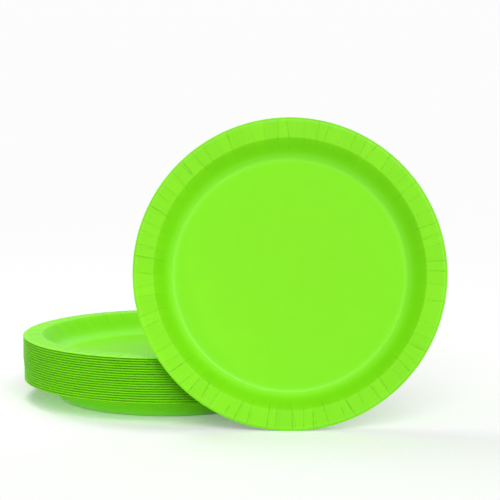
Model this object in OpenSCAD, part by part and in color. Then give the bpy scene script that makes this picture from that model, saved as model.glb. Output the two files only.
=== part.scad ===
// Pack of round pressed paper plates: a nested column with one more plate leaning on its front.
// Millimetres, +Z up. The origin is on the surface, on the axis of the bottom plate.

/* [Plate] */
// Outside diameter, over the turned-down lip
plate_d = 228.6; // [150:0.2:300]
// Height from the underside to the top of the rim
plate_h = 16.5; // [12:0.5:22]
// Thickness of the paperboard
board_t = 0.5; // [0.3:0.05:0.8]
// Width of the level rim with its lip
rim_w = 14.5; // [10:0.5:25]
// Level distance from the edge of the flat floor to the rim
wall_run = 16.3; // [12:0.1:30]
// Inside radius of the curve from floor to wall
floor_r = 5; // [3:0.5:8]
// Outside radius of the turn from wall to rim
shoulder_r = 1.2; // [1:0.1:3]
// Outside radius of the turned-down lip
lip_r = 2.4; // [1.5:0.1:3.5]

/* [Pleats] */
// Pleats pressed around the rim
pleat_n = 72; // [24:1:96]
// Width of a pleat's crease
pleat_w = 0.6; // [0.3:0.1:1]
// Depth of a pleat's crease
pleat_depth = 0.15; // [0.05:0.01:0.2]
// Length of a crease down the wall
pleat_run = 9; // [3:0.5:10]
// How far a pleat strays from even spacing, as a share of it
pleat_stray = 0.22; // [0:0.01:0.4]

/* [Column] */
// Plates nested in the column
nested_n = 19; // [5:1:30]
// Free height between a lip and the plate under it, where they are closest
lip_gap = 0.18; // [0.1:0.01:0.5]
// Least gap between nested walls
wall_gap = 0.3; // [0.1:0.05:0.6]
// How far the upper plates have slipped to the left
slip = 0.7; // [0:0.05:1.2]
// The last plate, from the bottom, that has not slipped
slip_from = 6; // [1:1:10]
// Plates over which the slip builds up
slip_over = 4; // [2:1:8]

/* [Leaning plate] */
// Distance of the leaning plate's middle to the right of the column's axis
lean_x = 91; // [60:1:110]
// Angle between the leaning plate and the vertical
lean = 13; // [6:1:25]
// Gap between its back and the column
lean_gap = 0.3; // [0.1:0.05:0.6]

/* [Hidden] */
$fn = 96;
plate_green = [0.553, 0.945, 0.169];
golden_turn = 137.5;
nested_names = [for (k = [1 : nested_n]) str("plate_", k < 10 ? "0" : "", k)];

// Sizes of a plate's section: the centres and radii of its bends, along the middle of the board
plate_r = plate_d / 2;
half_t = board_t / 2;
floor_edge = plate_r - rim_w - wall_run;
rim_edge = plate_r - rim_w;
floor_bend = floor_r + half_t;
shoulder_bend = shoulder_r - half_t;
lip_bend = lip_r - half_t;
floor_c = [floor_edge, half_t + floor_bend];
shoulder_c = [rim_edge, plate_h - shoulder_r];
lip_c = [plate_r - lip_r, plate_h - lip_r];
bend_span = shoulder_c - floor_c;
wall_a = atan2(bend_span.y, bend_span.x) + asin((floor_bend + shoulder_bend) / norm(bend_span));
wall_out = [sin(wall_a), -cos(wall_a)];
wall_foot = floor_c + floor_bend * wall_out;
wall_top = shoulder_c - shoulder_bend * wall_out;

// Bends are drawn in steps of at most this many degrees
bend_step = 7.5;

// A crease stops this much short of the bends at its two ends
pleat_end = 0.3;

// Each plate stands this much above the one under it
slip_step = slip / slip_over;
lip_inside = max(lip_r - board_t - slip_step, 0);
pitch = max(sqrt(lip_r * lip_r - lip_inside * lip_inside) + lip_gap, (board_t + wall_gap) / cos(wall_a) + slip_step);
column_h = (nested_n - 1) * pitch + plate_h;

// How far plate k of the column has slipped
function slip_of(k) = -slip_step * min(max(k - slip_from, 0), slip_over);

// Height of the underside above the plate's lowest plane, at distance r from its axis
function underside(r) =
    r < floor_edge ? 0 :
    r < wall_foot.x + half_t * wall_out.x ?
        floor_c.y - sqrt(pow(floor_bend + half_t, 2) - pow(r - floor_edge, 2)) :
    r < wall_top.x + half_t * wall_out.x ?
        wall_foot.y + half_t * wall_out.y + (r - wall_foot.x - half_t * wall_out.x) * tan(wall_a) :
    plate_h - board_t;

// Points of the top plate's lip that face the viewer: a goes round the plate, b over the lip
top_lip = [for (a = [-150 : 2 : -30], b = [0 : 10 : 40])
    let (r = lip_c.x + lip_r * cos(b))
    [r * cos(a) + slip_of(nested_n), r * sin(a), column_h - lip_r + lip_r * sin(b)]];

// The leaning plate's foot rests on the surface. Its back comes up to the column, at a place that is
// found by halving the distance between a far one and a near one.
seat_halvings = 24;
lean_z = plate_r * cos(lean) - lip_c.y * sin(lean);
function back_gap(p, y) =
    let (dy = p.y - y, dz = p.z - lean_z, across = p.x - lean_x)
    let (up = dy * sin(lean) + dz * cos(lean), behind = dy * cos(lean) - dz * sin(lean))
    behind + underside(norm([across, up]));
function clears(y) = min([for (p = top_lip) back_gap(p, y)]) >= lean_gap;
function lean_seat(near, far, steps) =
    steps == 0 ? near :
    let (middle = (near + far) / 2)
    clears(middle) ? lean_seat(middle, far, steps - 1) : lean_seat(near, middle, steps - 1);
lean_y = lean_seat(-2 * plate_d, 0, seat_halvings);

// Points along an arc, both ends included
function arc(centre, r, from, to) =
    let (steps = ceil(abs(to - from) / bend_step))
    [for (i = [0 : steps]) let (a = from + (to - from) * i / steps) centre + r * [cos(a), sin(a)]];

// One face of the board from the axis to the end of the lip: side is 1 for the upper, -1 for the lower
function face(side) = concat(
    [[0, half_t + side * half_t]],
    arc(floor_c, floor_bend - side * half_t, -90, wall_a - 90),
    arc(shoulder_c, shoulder_bend + side * half_t, 90 + wall_a, 90),
    arc(lip_c, lip_bend + side * half_t, 90, 0));

function backwards(points) = [for (i = [len(points) - 1 : -1 : 0]) points[i]];

module board_section() polygon(concat(face(-1), backwards(face(1))));

// A V-shaped groove of the given length, along +X with its mouth at z = 0
module groove(length) {
    rotate([90, 0, 90])
        linear_extrude(length)
            polygon([[-pleat_w / 2, 0], [0, -pleat_depth], [pleat_w / 2, 0], [0, pleat_depth]]);
}

// One pleat: a crease across the level rim, and one down the upper part of the wall
module crease() {
    translate([rim_edge + pleat_end, 0, plate_h]) groove(lip_c.x - rim_edge - 2 * pleat_end);
    translate([wall_top.x - half_t * wall_out.x, 0, wall_top.y - half_t * wall_out.y])
        rotate([0, 180 - wall_a, 0]) translate([pleat_end, 0, 0]) groove(pleat_run);
}

// A plate turned about its axis. Its rim's creases are cut only where the rim shows.
module plate(turn, rim_shows) {
    color(plate_green)
        rotate([0, 0, turn])
            difference() {
                rotate_extrude() board_section();
                if (rim_shows)
                    for (i = [0 : pleat_n - 1])
                        rotate([0, 0, (i + pleat_stray * sin(i * golden_turn)) * 360 / pleat_n])
                            crease();
            }
}

// Plate k of the column, counted from the bottom
module nested_plate(k) {
    translate([slip_of(k), 0, (k - 1) * pitch]) plate(k * golden_turn, k == nested_n);
}

module standing_plate() {
    translate([lean_x, lean_y, lean_z])
        rotate([90 - lean, 0, 0]) plate(0, true);
}

for (k = [1 : nested_n])
    nested_plate(k);
standing_plate();
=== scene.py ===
# A pack of lime-green paper plates: nineteen nested in a column, and one that leans on its front.
# Metres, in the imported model's own frame: +Z up, the leaning plate's face towards -Y.
import math

import bpy
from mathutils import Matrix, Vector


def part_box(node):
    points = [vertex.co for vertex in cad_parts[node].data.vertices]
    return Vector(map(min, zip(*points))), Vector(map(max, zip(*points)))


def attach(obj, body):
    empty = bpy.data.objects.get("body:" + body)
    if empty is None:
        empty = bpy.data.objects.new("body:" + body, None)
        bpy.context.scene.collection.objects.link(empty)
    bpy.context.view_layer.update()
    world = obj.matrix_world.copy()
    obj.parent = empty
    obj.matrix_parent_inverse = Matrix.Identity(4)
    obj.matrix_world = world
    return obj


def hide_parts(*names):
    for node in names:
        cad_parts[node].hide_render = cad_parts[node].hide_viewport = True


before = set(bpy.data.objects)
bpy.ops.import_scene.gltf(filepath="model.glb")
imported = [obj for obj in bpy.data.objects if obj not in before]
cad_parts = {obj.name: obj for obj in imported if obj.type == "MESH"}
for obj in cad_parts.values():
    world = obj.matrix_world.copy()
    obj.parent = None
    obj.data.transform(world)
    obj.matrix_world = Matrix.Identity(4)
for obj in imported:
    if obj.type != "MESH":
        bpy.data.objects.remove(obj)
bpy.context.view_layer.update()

# The plates nested in the column
#
# Each is a disc of coated paperboard, dyed green right through, pressed hot between two dies. The
# board is too wide for the shape it is pressed into, so the rim and the wall gather in flattened
# pleats. The plates are dropped in each other as they leave the press, turned any way round.
millimetre = 0.001
plate_radius = 114.3 * millimetre
plate_height = 16.5 * millimetre
board_thickness = 0.5 * millimetre
rim_width = 14.5 * millimetre
wall_run = 16.3 * millimetre
floor_bend_radius = 5.25 * millimetre
pressed_floor_bend = 3.6 * millimetre
shoulder_bend_radius = 0.95 * millimetre
lip_bend_radius = 3.0 * millimetre
lip_length = 1.6 * millimetre
lip_droop = math.radians(35)
pleats_round_rim = 72


def board_corners():
    """The corners of a plate's section along the middle of the board, before they are rounded."""
    middle_low = board_thickness / 2
    middle_high = plate_height - board_thickness / 2
    floor_centre = (plate_radius - rim_width - wall_run, middle_low + floor_bend_radius)
    shoulder_centre = (plate_radius - rim_width, middle_high - shoulder_bend_radius)
    across = shoulder_centre[0] - floor_centre[0]
    up = shoulder_centre[1] - floor_centre[1]
    bends = floor_bend_radius + shoulder_bend_radius
    wall_angle = math.atan2(up, across) + math.asin(bends / math.hypot(across, up))
    half_turn = math.tan(wall_angle / 2)
    lip_end = plate_radius - board_thickness / 2 * math.sin(lip_droop)
    return {
        "Middle": (0, 0, middle_low),
        "Floor corner": (floor_centre[0] + floor_bend_radius * half_turn, 0, middle_low),
        "Rim corner": (shoulder_centre[0] - shoulder_bend_radius * half_turn, 0, middle_high),
        "Lip corner": (lip_end - lip_length * math.cos(lip_droop), 0, middle_high),
        "Lip end": (lip_end, 0, middle_high - lip_length * math.sin(lip_droop)),
    }


def feed(tree, socket, value):
    """Gives an input what it works with: another node's output is linked, a plain value is set."""
    if isinstance(value, bpy.types.NodeSocket):
        tree.links.new(value, socket)
    else:
        socket.default_value = value


def put(tree, kind, settings=None, **wires):
    """One node of a tree, with its settings, and its inputs given by name."""
    node = tree.nodes.new(kind)
    for setting, value in (settings or {}).items():
        setattr(node, setting, value)
    for name, value in wires.items():
        label = name.replace("_", " ")
        feed(tree, next(s for s in node.inputs if s.enabled and s.name == label), value)
    return node


def sum_of(tree, operation, *terms):
    """A Math node on numbers or sockets."""
    node = tree.nodes.new("ShaderNodeMath")
    node.operation = operation
    for socket, term in zip(node.inputs, terms):
        feed(tree, socket, term)
    return node.outputs[0]


def chosen(tree, kind, index, *choices):
    """The choice that an index picks out of a row of numbers or sockets."""
    node = tree.nodes.new("GeometryNodeIndexSwitch")
    node.data_type = kind
    while len(node.index_switch_items) < len(choices):
        node.index_switch_items.new()
    tree.links.new(index, node.inputs[0])
    for socket, choice in zip(list(node.inputs)[1:], choices):
        feed(tree, socket, choice)
    return node.outputs[0]


def eased(tree, value, low, high):
    """Rises smoothly from 0 at low to 1 at high."""
    node = put(tree, "ShaderNodeMapRange", {"interpolation_type": "SMOOTHSTEP"}, Value=value)
    for socket, edge in zip(list(node.inputs)[1:3], (low, high)):
        feed(tree, socket, edge)
    return node.outputs[0]


def pressed_plate_tree():
    """The rule that a plate is pressed by: its section swept round the axis, gathered in pleats."""
    tree = bpy.data.node_groups.new("pressed plate", "GeometryNodeTree")
    sockets = (
        ("Middle", "Vector"), ("Floor corner", "Vector"), ("Rim corner", "Vector"),
        ("Lip corner", "Vector"), ("Lip end", "Vector"), ("Floor bend", "Float"),
        ("Shoulder bend", "Float"), ("Lip bend", "Float"), ("Board thickness", "Float"),
        ("Bend steps", "Int"), ("Straight step", "Float"), ("Most straight steps", "Int"),
        ("Pleats", "Int"), ("Columns in a pleat", "Int"), ("Pleat stray", "Float"),
        ("Pleat slant", "Float"), ("Pleat depth", "Float"), ("Pleat width", "Float"),
        ("Panel tilt", "Float"), ("Rim wave", "Float"), ("Seed", "Int"),
        ("Turn", "Vector"), ("Place", "Vector"), ("Board", "Material"),
    )
    for name, kind in sockets:
        tree.interface.new_socket(name, in_out="INPUT", socket_type="NodeSocket" + kind)
    tree.interface.new_socket("Plate", in_out="OUTPUT", socket_type="NodeSocketGeometry")
    given = {s.name: s for s in tree.nodes.new("NodeGroupInput").outputs}

    def math_of(operation, *terms):
        return sum_of(tree, operation, *terms)

    # the section: five corners, rounded, with more points where the straight runs are long
    corner = tree.nodes.new("GeometryNodeInputIndex").outputs[0]
    corners = [given[name] for name in ("Middle", "Floor corner", "Rim corner", "Lip corner", "Lip end")]
    row = put(tree, "GeometryNodeMeshLine", Count=len(corners)).outputs[0]
    places = chosen(tree, "VECTOR", corner, *corners)
    row = put(tree, "GeometryNodeSetPosition", Geometry=row, Position=places).outputs[0]
    row = put(tree, "GeometryNodeMeshToCurve", Mesh=row).outputs[0]
    radii = chosen(tree, "FLOAT", corner, 0.0, given["Floor bend"], given["Shoulder bend"],
                   given["Lip bend"], 0.0)
    rounded = put(tree, "GeometryNodeFilletCurve", {"mode": "POLY"}, Curve=row,
                  Count=given["Bend steps"], Radius=radii).outputs[0]
    place = tree.nodes.new("GeometryNodeInputPosition").outputs[0]
    following = put(tree, "GeometryNodeSampleIndex", {"data_type": "FLOAT_VECTOR", "clamp": True},
                    Geometry=rounded, Value=place, Index=math_of("ADD", corner, 1)).outputs[0]
    stretch = tree.nodes.new("ShaderNodeVectorMath")
    stretch.operation = "DISTANCE"
    tree.links.new(place, stretch.inputs[0])
    tree.links.new(following, stretch.inputs[1])
    steps = math_of("FLOOR", math_of("DIVIDE", stretch.outputs["Value"], given["Straight step"]))
    steps = math_of("MINIMUM", steps, given["Most straight steps"])
    section = put(tree, "GeometryNodeSubdivideCurve", Curve=rounded, Cuts=steps).outputs[0]
    points = put(tree, "GeometryNodeAttributeDomainSize", {"component": "CURVE"},
                 Geometry=section).outputs["Point Count"]

    # a grid to sweep it with: out along the upper face, over the lip and back along the lower face
    rings = math_of("MULTIPLY", points, 2)
    columns = math_of("MULTIPLY", given["Pleats"], given["Columns in a pleat"])
    sweep = put(tree, "GeometryNodeMeshGrid", Vertices_X=math_of("ADD", columns, 1), Vertices_Y=rings)
    column = math_of("FLOOR", math_of("DIVIDE", math_of("ADD", corner, 0.5), rings))
    ring = math_of("SUBTRACT", corner, math_of("MULTIPLY", column, rings))
    upper = math_of("LESS_THAN", ring, math_of("SUBTRACT", points, 0.5))
    side = math_of("SUBTRACT", math_of("MULTIPLY", upper, 2), 1)
    back_ring = math_of("SUBTRACT", math_of("SUBTRACT", rings, 1), ring)
    point = math_of("ADD", math_of("MULTIPLY", upper, ring),
                    math_of("MULTIPLY", math_of("SUBTRACT", 1, upper), back_ring))
    point = math_of("ROUND", point)

    def along_section(value):
        found = put(tree, "GeometryNodeSampleIndex", {"data_type": "FLOAT_VECTOR", "clamp": True},
                    Geometry=section, Value=value, Index=point).outputs[0]
        return put(tree, "ShaderNodeSeparateXYZ", Vector=found).outputs

    middle = along_section(place)
    heading = along_section(tree.nodes.new("GeometryNodeInputTangent").outputs[0])
    out_r = math_of("MULTIPLY", heading["Z"], -1)
    out_z = heading["X"]
    reach = middle["X"]

    # the pleats stand unevenly round the rim, and the columns crowd up to each crease
    crowding = 2.2
    per_pleat = given["Columns in a pleat"]
    pleat = math_of("FLOOR", math_of("DIVIDE", math_of("ADD", column, 0.5), per_pleat))
    share = math_of("SUBTRACT", column, math_of("MULTIPLY", pleat, per_pleat))
    share = math_of("DIVIDE", share, per_pleat)
    from_middle = math_of("SUBTRACT", math_of("MULTIPLY", share, 2), 1)
    crowded = math_of("POWER", math_of("SUBTRACT", 1, math_of("ABSOLUTE", from_middle)), crowding)
    crowded = math_of("MULTIPLY", math_of("SIGN", from_middle), math_of("SUBTRACT", 1, crowded))
    across = math_of("MULTIPLY_ADD", crowded, 0.5, 0.5)
    next_pleat = math_of("ADD", pleat, 1)

    def dealt(which, low, high, stream):
        """A number dealt to a pleat, the same wherever that pleat is asked for."""
        own = math_of("MODULO", math_of("ADD", which, 0.5), given["Pleats"])
        node = put(tree, "FunctionNodeRandomValue", {"data_type": "FLOAT"}, Min=low, Max=high,
                   ID=math_of("FLOOR", own),
                   Seed=math_of("ADD", math_of("MULTIPLY", given["Seed"], 16), stream))
        return next(s for s in node.outputs if s.enabled)

    def both(low, high, stream):
        return dealt(pleat, low, high, stream), dealt(next_pleat, low, high, stream)

    def between(first, second, where):
        gap = math_of("SUBTRACT", second, first)
        return math_of("MULTIPLY_ADD", gap, where, first)

    stray = both(-0.5, 0.5, 1)
    stray = [math_of("MULTIPLY", s, given["Pleat stray"]) for s in stray]
    stands = math_of("ADD", pleat, stray[0]), math_of("ADD", next_pleat, stray[1])
    gathers_from = 88 * millimetre
    gathered_at = 98 * millimetre
    gathered = eased(tree, reach, gathers_from, gathered_at)
    slants_about = 107 * millimetre
    slants = both(-1.0, 1.0, 2)
    slant = math_of("MULTIPLY", between(slants[0], slants[1], across), given["Pleat slant"])
    slant = math_of("MULTIPLY", math_of("MULTIPLY", slant, gathered),
                    math_of("SUBTRACT", math_of("DIVIDE", reach, slants_about), 1))
    turn_share = math_of("DIVIDE", between(stands[0], stands[1], across), given["Pleats"])
    angle = math_of("ADD", math_of("MULTIPLY", turn_share, 2 * math.pi), slant)

    # how far the board leaves its plain section: creases, tilted panels and a slow wave
    pleat_gap = math_of("DIVIDE", math_of("MULTIPLY", math_of("SUBTRACT", stands[1], stands[0]),
                                          math_of("MULTIPLY", reach, 2 * math.pi)), given["Pleats"])
    from_first = math_of("MULTIPLY", across, pleat_gap)
    from_second = math_of("SUBTRACT", pleat_gap, from_first)
    strengths = both(0.10, 0.8, 3)
    starts = both(90 * millimetre, 100 * millimetre, 4)
    crease_begins_over = 3 * millimetre
    depth_on_wall = 0.4
    on_rim = eased(tree, reach, 96 * millimetre, 102 * millimetre)
    on_rim = math_of("MULTIPLY_ADD", on_rim, 1 - depth_on_wall, depth_on_wall)

    def crease(distance, strength, start):
        wide = math_of("DIVIDE", distance, given["Pleat width"])
        hollow = math_of("EXPONENT", math_of("MULTIPLY", math_of("MULTIPLY", wide, wide), -1))
        begun = eased(tree, reach, start, math_of("ADD", start, crease_begins_over))
        deep = math_of("MULTIPLY", hollow, strength)
        return math_of("MULTIPLY", deep, math_of("MULTIPLY", begun, on_rim))

    creased = math_of("ADD", crease(from_first, strengths[0], starts[0]),
                      crease(from_second, strengths[1], starts[1]))
    tilt = math_of("MULTIPLY", dealt(pleat, -1.0, 1.0, 5), given["Panel tilt"])
    tilt = math_of("MULTIPLY", tilt, math_of("SUBTRACT", across, 0.5))
    level_by_crease = 0.3 * millimetre
    clear_of = math_of("MULTIPLY", eased(tree, from_first, 0.0, level_by_crease),
                       eased(tree, from_second, 0.0, level_by_crease))
    tilt = math_of("MULTIPLY", math_of("MULTIPLY", tilt, clear_of), gathered)
    round_x = math_of("COSINE", angle)
    round_y = math_of("SINE", angle)
    outward_pace = 8
    circle_place = put(tree, "ShaderNodeCombineXYZ", X=round_x, Y=round_y,
                       Z=math_of("MULTIPLY", reach, outward_pace)).outputs[0]
    seeds_apart = 3.7
    wave = put(tree, "ShaderNodeTexNoise", {"noise_dimensions": "4D"}, Vector=circle_place,
               W=math_of("MULTIPLY", given["Seed"], seeds_apart), Scale=2.6, Detail=1.0).outputs[0]
    wave = math_of("MULTIPLY", math_of("SUBTRACT", wave, 0.5), given["Rim wave"])
    waves_from = 80 * millimetre
    waves_fully_at = 100 * millimetre
    wave = math_of("MULTIPLY", wave, eased(tree, reach, waves_from, waves_fully_at))
    lift = math_of("MULTIPLY", creased, math_of("MULTIPLY", given["Pleat depth"], -1))
    lift = math_of("ADD", lift, tilt)

    # the swept place of each point
    off_middle = math_of("MULTIPLY_ADD", side, math_of("MULTIPLY", given["Board thickness"], 0.5), lift)
    radius = math_of("MULTIPLY_ADD", off_middle, out_r, reach)
    height = math_of("ADD", math_of("MULTIPLY_ADD", off_middle, out_z, middle["Z"]), wave)
    swept = put(tree, "ShaderNodeCombineXYZ", X=math_of("MULTIPLY", radius, round_x),
                Y=math_of("MULTIPLY", radius, round_y), Z=height).outputs[0]

    # what the board's finish needs to know about each point, stored before the sweep
    plate = sweep.outputs[0]
    notes = (("crease", "FLOAT", creased), ("face_of_board", "FLOAT", side),
             ("panel_tone", "FLOAT", math_of("MULTIPLY", dealt(pleat, -1.0, 1.0, 6), gathered)),
             ("gathering", "FLOAT", gathered), ("from_axis", "FLOAT", reach),
             ("from_crease", "FLOAT", from_first), ("doubled", "FLOAT", dealt(pleat, -1.2, 1.0, 7)),
             ("round_the_rim", "FLOAT_VECTOR", circle_place))
    for name, kind, value in notes:
        plate = put(tree, "GeometryNodeStoreNamedAttribute", {"data_type": kind, "domain": "POINT"},
                    Geometry=plate, Name=name, Value=value).outputs[0]
    plate = put(tree, "GeometryNodeSetPosition", Geometry=plate, Position=swept).outputs[0]
    seam_gap = 0.0002 * millimetre
    plate = put(tree, "GeometryNodeMergeByDistance", Geometry=plate, Distance=seam_gap).outputs[0]
    plate = put(tree, "GeometryNodeFlipFaces", Mesh=plate).outputs[0]
    turned = put(tree, "FunctionNodeEulerToRotation", Euler=given["Turn"]).outputs[0]
    plate = put(tree, "GeometryNodeTransform", Geometry=plate, Translation=given["Place"],
                Rotation=turned).outputs[0]
    plate = put(tree, "GeometryNodeRealizeInstances", Geometry=plate).outputs[0]
    plate = put(tree, "GeometryNodeSetMaterial", Geometry=plate, Material=given["Board"]).outputs[0]
    tree.links.new(plate, tree.nodes.new("NodeGroupOutput").inputs[0])
    return tree


def coated_board():
    """Green paperboard with a thin coat: soft sheen, faint fibres, painted highlights at the bends,
    painted shade on wall and creases.
    """
    board = bpy.data.materials.new("green_board")
    board.use_nodes = True
    tree = board.node_tree
    finish = next(n for n in tree.nodes if n.type == "BSDF_PRINCIPLED")

    def noted(name):
        return put(tree, "ShaderNodeAttribute", {"attribute_name": name}).outputs

    def math_of(operation, *terms):
        return sum_of(tree, operation, *terms)

    def mixed(share, first, second):
        node = tree.nodes.new("ShaderNodeMix")
        node.data_type = "RGBA"
        inputs = (node.inputs[0], node.inputs[6], node.inputs[7])
        for socket, value in zip(inputs, (share, first, second)):
            feed(tree, socket, value)
        return node.outputs[2]

    from_axis = noted("from_axis")["Fac"]

    def bell(distance, width):
        """Is 1 at no distance, and falls off smoothly over the width to both sides."""
        off = math_of("DIVIDE", distance, width)
        return math_of("EXPONENT", math_of("MULTIPLY", math_of("MULTIPLY", off, off), -1))

    def ring_at(middle_radius, half_width):
        return bell(math_of("SUBTRACT", from_axis, middle_radius), half_width)

    # where the dies press hardest, at the bends, the coat is glossier and its colour is lightened as a
    # painted highlight: the distance of each such ring from the axis, its half width, and its weight
    gloss_and_highlight_rings = (
        (87.4 * millimetre, 2.6 * millimetre, 1.0),
        (100.2 * millimetre, 0.6 * millimetre, 0.08),
        (112.2 * millimetre, 0.8 * millimetre, 0.3),
    )
    gloss_and_highlight = 0.0
    for ring_radius, half_width, ring_weight in gloss_and_highlight_rings:
        gloss_and_highlight = math_of("MULTIPLY_ADD", ring_at(ring_radius, half_width), ring_weight, gloss_and_highlight)
    # painted shade: the colour is darkened across the wall, between the floor and the rim
    wall_painted_shade = ring_at(94.8 * millimetre, 4.3 * millimetre)

    own_place = tree.nodes.new("ShaderNodeTexCoord").outputs["Object"]

    # how many of each lie along a metre of board
    clouds = 55.0
    fibres = 620.0
    cloud = put(tree, "ShaderNodeTexNoise", Vector=own_place, Scale=clouds, Detail=3.0).outputs[0]
    fibre = put(tree, "ShaderNodeTexNoise", Vector=own_place, Scale=fibres, Detail=4.0).outputs[0]
    gather = put(tree, "ShaderNodeMapping", Vector=noted("round_the_rim")["Vector"])
    gather.inputs["Scale"].default_value = (70.0, 70.0, 1.6)
    wrinkle = put(tree, "ShaderNodeTexNoise", Vector=gather.outputs[0], Scale=1.0, Detail=2.0).outputs[0]
    wrinkle = math_of("MULTIPLY", math_of("SUBTRACT", wrinkle, 0.5), noted("gathering")["Fac"])

    # what shifts the colour between the deep and the light green, and by how much; the wall's darkening
    # is painted shade
    tone_shifts = (
        (math_of("SUBTRACT", cloud, 0.5), 0.30),
        (math_of("SUBTRACT", fibre, 0.5), 0.16),
        (noted("panel_tone")["Fac"], 0.16),
        (wrinkle, 0.35),
        (wall_painted_shade, -0.4),
    )
    tone = 0.5
    for shift, amount in tone_shifts:
        tone = math_of("MULTIPLY_ADD", shift, amount, tone)
    deep_green = (0.224, 0.790, 0.004, 1.0)
    light_green = (0.282, 0.920, 0.010, 1.0)
    painted_highlight_green = (0.300, 0.960, 0.020, 1.0)
    crease_shade_green = (0.122, 0.530, 0.003, 1.0)
    cut_edge_and_gap_shade = (0.130, 0.350, 0.010, 1.0)
    colour = mixed(tone, deep_green, light_green)
    # painted highlight: the colour is lightened towards a paler green on the bend rings
    colour = mixed(math_of("MULTIPLY", gloss_and_highlight, 0.6), colour, painted_highlight_green)

    # the painted shade of a crease is broken up by noise, so its dark line comes and goes
    breaks = 190.0
    faintest = 0.12
    broken = put(tree, "ShaderNodeTexNoise", Vector=own_place, Scale=breaks, Detail=1.0).outputs[0]
    broken = math_of("MULTIPLY_ADD", math_of("SUBTRACT", broken, 0.5), 3.0, 0.75)

    # some pleats are folded twice, and show a second, fainter line of painted crease shade that runs in
    # towards the first
    fold_from = 98 * millimetre
    fold_away = 0.5 * millimetre
    fold_spread = 0.13
    fold_width = 0.28 * millimetre
    fold_shade = 0.4
    fold_at = math_of("MULTIPLY_ADD", math_of("SUBTRACT", from_axis, fold_from), fold_spread, fold_away)
    second_fold = bell(math_of("SUBTRACT", noted("from_crease")["Fac"], fold_at), fold_width)
    second_fold = math_of("MULTIPLY", second_fold, math_of("MAXIMUM", noted("doubled")["Fac"], 0.0))
    on_rim = eased(tree, from_axis, 99 * millimetre, 104 * millimetre)
    second_fold = math_of("MULTIPLY", second_fold, on_rim)
    creased = math_of("MULTIPLY_ADD", second_fold, fold_shade, noted("crease")["Fac"])
    creased = math_of("MULTIPLY", creased, math_of("MAXIMUM", broken, faintest))

    # the painted crease lines fade where the lip turns down
    lost_on_lip = 0.6
    on_lip = eased(tree, from_axis, 111 * millimetre, 113 * millimetre)
    off_lip = math_of("SUBTRACT", 1.0, math_of("MULTIPLY", on_lip, lost_on_lip))
    creased = put(tree, "ShaderNodeClamp", Value=math_of("MULTIPLY", creased, off_lip)).outputs[0]
    # painted shade: the creases and second folds are darkened in the colour
    colour = mixed(creased, colour, crease_shade_green)

    # between the two faces, where face_of_board runs from 1 to -1, the cut edge shows the board itself,
    # painted darker still as shade in the gaps between the nested plates
    face_begins = 0.985
    on_face = math_of("ABSOLUTE", noted("face_of_board")["Fac"])
    colour = mixed(math_of("LESS_THAN", on_face, face_begins), colour, cut_edge_and_gap_shade)
    tree.links.new(colour, finish.inputs["Base Color"])

    rough = math_of("MULTIPLY_ADD", math_of("SUBTRACT", cloud, 0.5), 0.12, 0.50)
    tree.links.new(gloss_and_highlight, finish.inputs["Coat Weight"])
    finish.inputs["Coat Roughness"].default_value = 0.42
    finish.inputs["Coat IOR"].default_value = 1.55
    tree.links.new(rough, finish.inputs["Roughness"])
    finish.inputs["IOR"].default_value = 1.46
    finish.inputs["Specular IOR Level"].default_value = 0.22

    relief = math_of("MULTIPLY_ADD", wrinkle, 1.2, math_of("MULTIPLY_ADD", cloud, 0.5, fibre))
    bump = put(tree, "ShaderNodeBump", Height=relief)
    bump.inputs["Strength"].default_value = 0.35
    bump.inputs["Distance"].default_value = 0.05 * millimetre
    tree.links.new(bump.outputs[0], finish.inputs["Normal"])
    return board


def press_plate(name, turn, place, seed, fine):
    """Presses one plate and lays it in its place, as a plain mesh."""
    values = {
        **board_corners(),
        "Floor bend": pressed_floor_bend,
        "Shoulder bend": shoulder_bend_radius,
        "Lip bend": lip_bend_radius,
        "Board thickness": board_thickness,
        "Bend steps": 4 if fine else 2,
        "Straight step": 2.2 * millimetre if fine else 4.5 * millimetre,
        "Most straight steps": 7 if fine else 2,
        "Pleats": pleats_round_rim,
        "Columns in a pleat": 14 if fine else 6,
        "Pleat stray": 0.5,
        "Pleat slant": 0.16,
        "Pleat depth": 0.2 * millimetre,
        "Pleat width": 0.35 * millimetre,
        "Panel tilt": 0.16 * millimetre,
        "Rim wave": 0.5 * millimetre,
        "Seed": seed,
        "Turn": turn,
        "Place": place,
        "Board": board_finish,
    }
    blank = bpy.data.objects.new("blank", bpy.data.meshes.new("blank"))
    bpy.context.scene.collection.objects.link(blank)
    press = blank.modifiers.new("press", "NODES")
    press.node_group = plate_tree
    for item in plate_tree.interface.items_tree:
        if item.in_out == "INPUT":
            press[item.identifier] = values[item.name]
    evaluated = blank.evaluated_get(bpy.context.evaluated_depsgraph_get())
    mesh = bpy.data.meshes.new_from_object(evaluated)
    bpy.data.objects.remove(blank)
    mesh.name = name
    mesh.shade_smooth()
    sharp_edge = math.radians(50)
    mesh.set_sharp_from_angle(angle=sharp_edge)
    plate = bpy.data.objects.new(name, mesh)
    bpy.context.scene.collection.objects.link(plate)
    return plate


plate_tree = pressed_plate_tree()
board_finish = coated_board()
nested_names = sorted(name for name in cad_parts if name.startswith("plate_"))
golden_turn = math.radians(137.5)
for number, node_name in enumerate(nested_names, start=1):
    low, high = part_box(node_name)
    middle_of_plate = ((low[0] + high[0]) / 2, (low[1] + high[1]) / 2, low[2])
    nested = press_plate("nested_" + node_name, (0, 0, number * golden_turn), middle_of_plate,
                         number, fine=node_name == nested_names[-1])
    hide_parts(node_name)
    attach(nested, "root")

# The plate that leans on the column
#
# The same plate from the same press, stood on its rim with its face to the viewer. Its foot is on
# the table, and its back leans on the rims of the column behind it.
lean = math.radians(13)
leaning_seed = 41

# the box that its node fills holds a lip rolled down by a quarter turn, of this radius
rolled_lip = 2.4 * millimetre
lip_reach = plate_radius - rolled_lip
lip_height = plate_height - rolled_lip

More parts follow.
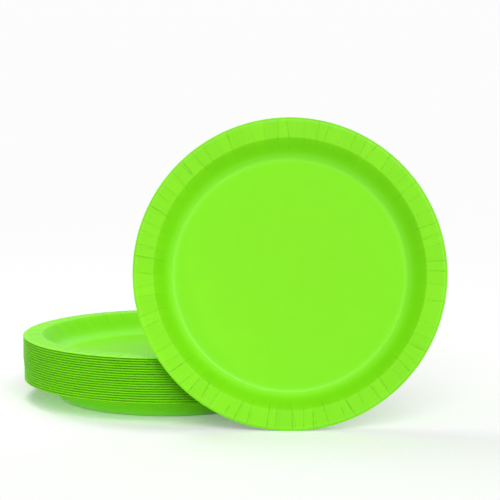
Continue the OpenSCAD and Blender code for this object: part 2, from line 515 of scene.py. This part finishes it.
# the pressed lip only droops, and the plate stands on its end
droop_in_thickness = board_thickness / 2 * (1 - math.cos(lip_droop))
foot_height = plate_height - droop_in_thickness - lip_length * math.sin(lip_droop)
low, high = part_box("standing_plate")
leaning_place = (
    (low[0] + high[0]) / 2,
    low[1] + lip_reach * math.sin(lean) + lip_height * math.cos(lean) + rolled_lip,
    plate_radius * math.cos(lean) - foot_height * math.sin(lean),
)
leaning = press_plate("leaning_plate", (math.pi / 2 - lean, 0, 0), leaning_place,
                      leaning_seed, fine=True)
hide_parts("standing_plate")
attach(leaning, "root")

# The table
#
# A plain white sheet under the plates. It takes their soft shadow and a little of their green. It is
# lifted to white where it is seen, and less so under the lamp, which lights it there by itself.
sheet_size = 400.0
half = sheet_size / 2
sheet_corners = [(-half, -half, 0), (half, -half, 0), (half, half, 0), (-half, half, 0)]
floor_mesh = bpy.data.meshes.new("white_table")
floor_mesh.from_pydata(sheet_corners, [], [(0, 1, 2, 3)])
white_table = bpy.data.objects.new("white_table", floor_mesh)
bpy.context.scene.collection.objects.link(white_table)
white = bpy.data.materials.new("white_table")
white.use_nodes = True
white_nodes = white.node_tree
sheet_finish = next(n for n in white_nodes.nodes if n.type == "BSDF_PRINCIPLED")
sheet_finish.inputs["Base Color"].default_value = (0.93, 0.93, 0.93, 1)
sheet_finish.inputs["Roughness"].default_value = 0.9
sheet_finish.inputs["Specular IOR Level"].default_value = 0.0
rays = white_nodes.nodes.new("ShaderNodeLightPath").outputs
seen = sum_of(white_nodes, "MAXIMUM", rays["Is Camera Ray"], rays["Is Glossy Ray"])
seen = sum_of(white_nodes, "MAXIMUM", seen, rays["Is Transmission Ray"])
sheet_finish.inputs["Emission Color"].default_value = (1, 1, 1, 1)
lift_far_off = 0.35
lift_lost_under_lamp = 0.20
lamp_away = 0.52
lamp_aims_at = (-0.056, 0.007, 0)
sheet_place = white_nodes.nodes.new("ShaderNodeTexCoord").outputs["Object"]
from_aim = put(white_nodes, "ShaderNodeMapping", Vector=sheet_place)
from_aim.inputs["Location"].default_value = [-step for step in lamp_aims_at]
off_aim = white_nodes.nodes.new("ShaderNodeVectorMath")
off_aim.operation = "LENGTH"
white_nodes.links.new(from_aim.outputs[0], off_aim.inputs[0])

# the column lamp's light falls off along the sheet as 1 / (1 + (distance / lamp_away)^2)^2
spread = sum_of(white_nodes, "DIVIDE", off_aim.outputs["Value"], lamp_away)
spread = sum_of(white_nodes, "MULTIPLY_ADD", spread, spread, 1)
spread = sum_of(white_nodes, "MULTIPLY", spread, spread)
lift_lost = sum_of(white_nodes, "DIVIDE", lift_lost_under_lamp, spread)
lift = sum_of(white_nodes, "SUBTRACT", lift_far_off, lift_lost)
lift = sum_of(white_nodes, "MULTIPLY", seen, lift)
white_nodes.links.new(lift, sheet_finish.inputs["Emission Strength"])
floor_mesh.materials.append(white)

# The light
#
# A wide soft sun from the viewer's side, a soft lamp close over the column, a faint one low down
# in front of it, and pale light from all round, so that the white table keeps one tone.
def facing(direction):
    """The turn that points a lamp along a direction."""
    level = math.hypot(direction[0], direction[1])
    return (math.atan2(level, -direction[2]), 0, math.atan2(direction[0], -direction[1]) + math.pi)


def hang(name, lamp, place, direction):
    """Hangs a lamp in its place."""
    holder = bpy.data.objects.new(name, lamp)
    holder.location = place
    holder.rotation_euler = facing(direction)
    bpy.context.scene.collection.objects.link(holder)


front_sun = bpy.data.lights.new("front_sun", "SUN")
front_sun.energy = 0.525 * math.pi
front_sun.angle = math.radians(50)
hang("front_sun", front_sun, place=(0, -2, 1.5), direction=(-0.17, 0.78, -0.60))
column_lamp = bpy.data.lights.new("column_lamp", "AREA")
column_lamp.shape = "DISK"
column_lamp.size = 0.25
column_lamp.energy = 0.9
hang("column_lamp", column_lamp, place=(-0.20, 0.14, 0.50), direction=(0.13, -0.12, -0.45))
low_lamp = bpy.data.lights.new("low_lamp", "SPOT")
low_lamp.shadow_soft_size = 0.04
low_lamp.spot_size = math.radians(38)
low_lamp.spot_blend = 0.5
low_lamp.energy = 0.85
hang("low_lamp", low_lamp, place=(-0.30, -0.30, 0.05), direction=(0.23, 0.22, -0.02))
room_light = 0.36
room_seen = 0.98
sky = bpy.data.worlds.new("pale_room")
bpy.context.scene.world = sky
sky.use_nodes = True
sky_nodes = sky.node_tree
room = next(n for n in sky_nodes.nodes if n.type == "BACKGROUND")
room.inputs["Color"].default_value = (1, 1, 1, 1)
sky_rays = sky_nodes.nodes.new("ShaderNodeLightPath").outputs
shown = sum_of(sky_nodes, "MAXIMUM", sky_rays["Is Camera Ray"], sky_rays["Is Glossy Ray"])
shown = sum_of(sky_nodes, "MAXIMUM", shown, sky_rays["Is Transmission Ray"])
strength = sum_of(sky_nodes, "MULTIPLY_ADD", shown, room_seen - room_light, room_light)
sky_nodes.links.new(strength, room.inputs["Strength"])

# The camera
#
# A long lens from the front, a little above the plates. Its place and focal length come from the
# outlines that the plates have in the photograph, whose frame is 500 pixels wide.
photo_width = 500
focal_pixels = 2072.0
looks_down = math.radians(7.3)
camera = bpy.data.cameras.new("photo_camera")
camera.sensor_fit = "HORIZONTAL"
camera.sensor_width = 36.0
camera.lens = focal_pixels * camera.sensor_width / photo_width
camera.clip_end = 50.0
viewer = bpy.data.objects.new("photo_camera", camera)
viewer.location = (0.06195, -1.600, 0.3190)
viewer.rotation_euler = (math.pi / 2 - looks_down, 0, 0)
bpy.context.scene.collection.objects.link(viewer)
bpy.context.scene.camera = viewer
bpy.context.scene.view_settings.view_transform = "Standard"
